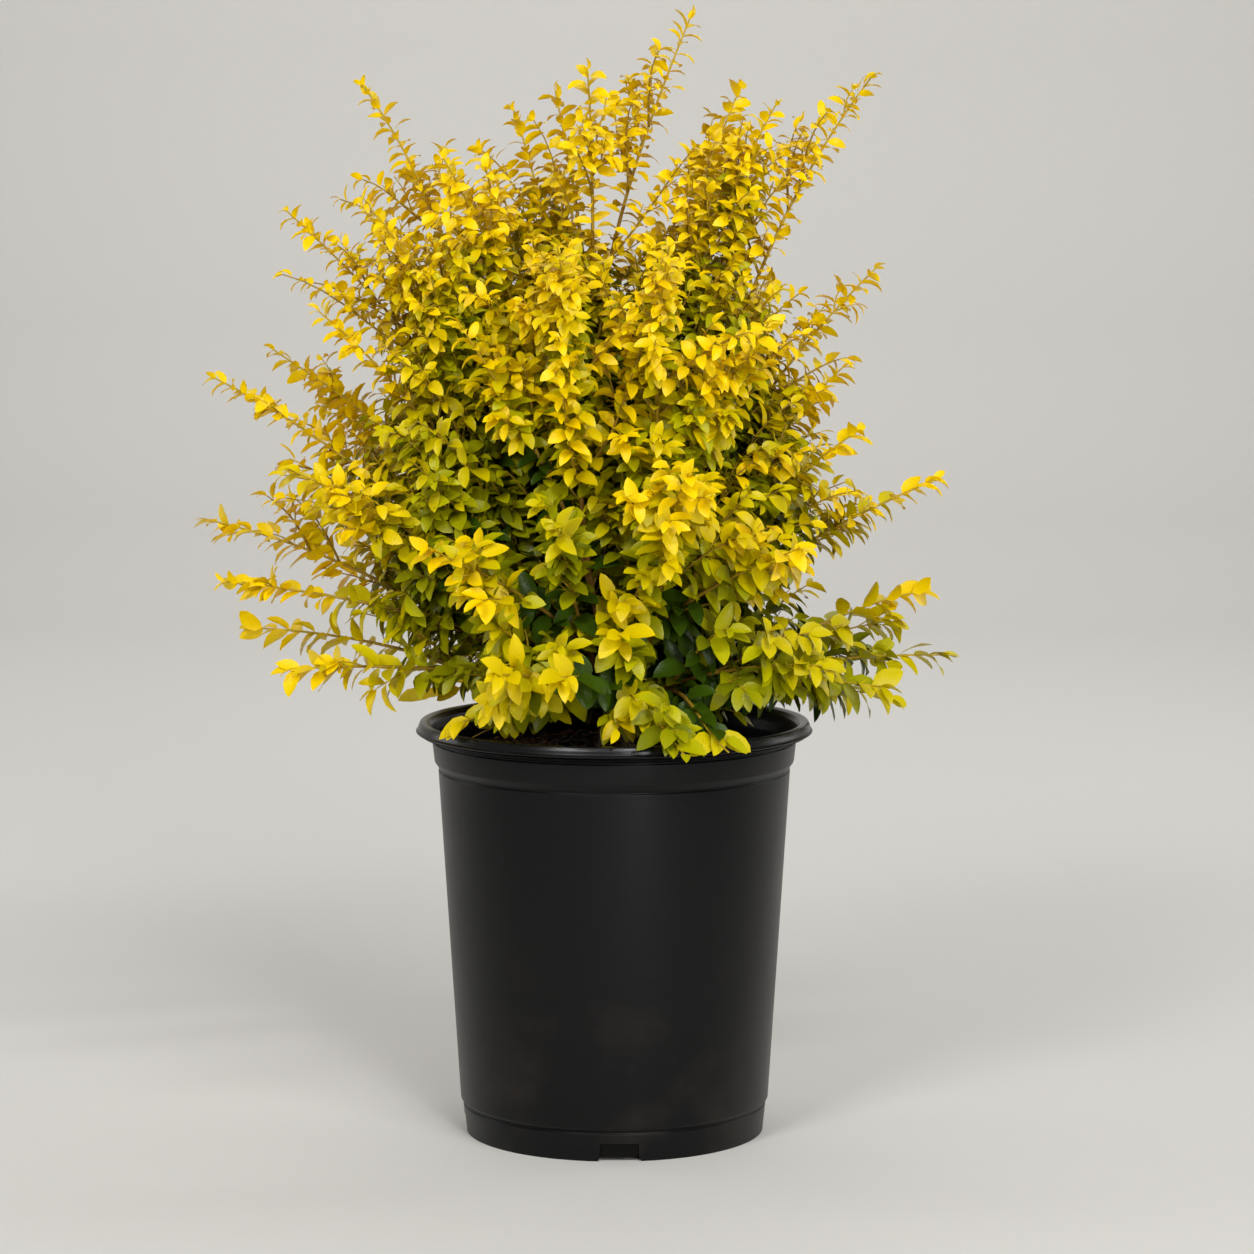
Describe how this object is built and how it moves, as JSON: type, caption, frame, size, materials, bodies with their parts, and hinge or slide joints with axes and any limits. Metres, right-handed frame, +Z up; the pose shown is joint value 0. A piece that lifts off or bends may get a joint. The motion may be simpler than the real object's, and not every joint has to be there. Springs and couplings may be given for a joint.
{
  "type": "potted privet shrub",
  "caption": "Bushy golden-leaved privet shrub with arching shoots, growing from a short trunk in a round tapered nursery pot filled with bark mix.",
  "frame": {"origin": "centre of the pot's flat underside, on the ground", "axes": "+Z up; +X to the right of the pictured front; -Y towards the viewer of that front"},
  "size_m": [0.519, 0.3677, 0.7841],
  "materials": {
    "pot": "moulded black polythene, satin",
    "potting_mix": "damp shredded bark, rough",
    "bark": "young grey-brown bark, rough",
    "foliage": "glossy golden-yellow leaves"
  },
  "bodies": {
    "root": {"pot": "pot", "potting_mix": "potting_mix", "trunk": "bark", "bough_left_crest": "bark", "bough_left_shoulder": "bark", "bough_left_middle": "bark", "bough_left_low": "bark", "bough_left_foot": "bark", "bough_top_left": "bark", "bough_top": "bark", "bough_top_right": "bark", "bough_right_crest": "bark", "bough_right_shoulder": "bark", "bough_right_middle": "bark", "bough_right_low": "bark", "bough_right_foot": "bark", "bough_front_foot_1": "bark", "bough_front_foot_2": "bark", "bough_front_foot_3": "bark", "bough_back_foot_4": "bark", "bough_back_foot_5": "bark", "bough_back_foot_6": "bark", "bough_front_waist_1": "bark", "bough_front_waist_2": "bark", "bough_back_waist_3": "bark", "bough_back_waist_4": "bark", "bough_front_chest_1": "bark", "bough_front_chest_2": "bark", "bough_back_chest_3": "bark", "bough_back_chest_4": "bark", "foliage_left_crest": "foliage", "foliage_left_shoulder": "foliage", "foliage_left_middle": "foliage", "foliage_left_low": "foliage", "foliage_left_foot": "foliage", "foliage_top_left": "foliage", "foliage_top": "foliage", "foliage_top_right": "foliage", "foliage_right_crest": "foliage", "foliage_right_shoulder": "foliage", "foliage_right_middle": "foliage", "foliage_right_low": "foliage", "foliage_right_foot": "foliage", "foliage_front_foot_1": "foliage", "foliage_front_foot_2": "foliage", "foliage_front_foot_3": "foliage", "foliage_back_foot_4": "foliage", "foliage_back_foot_5": "foliage", "foliage_back_foot_6": "foliage", "foliage_front_waist_1": "foliage", "foliage_front_waist_2": "foliage", "foliage_back_waist_3": "foliage", "foliage_back_waist_4": "foliage", "foliage_front_chest_1": "foliage", "foliage_front_chest_2": "foliage", "foliage_back_chest_3": "foliage", "foliage_back_chest_4": "foliage"}
  },
  "joints": []
}
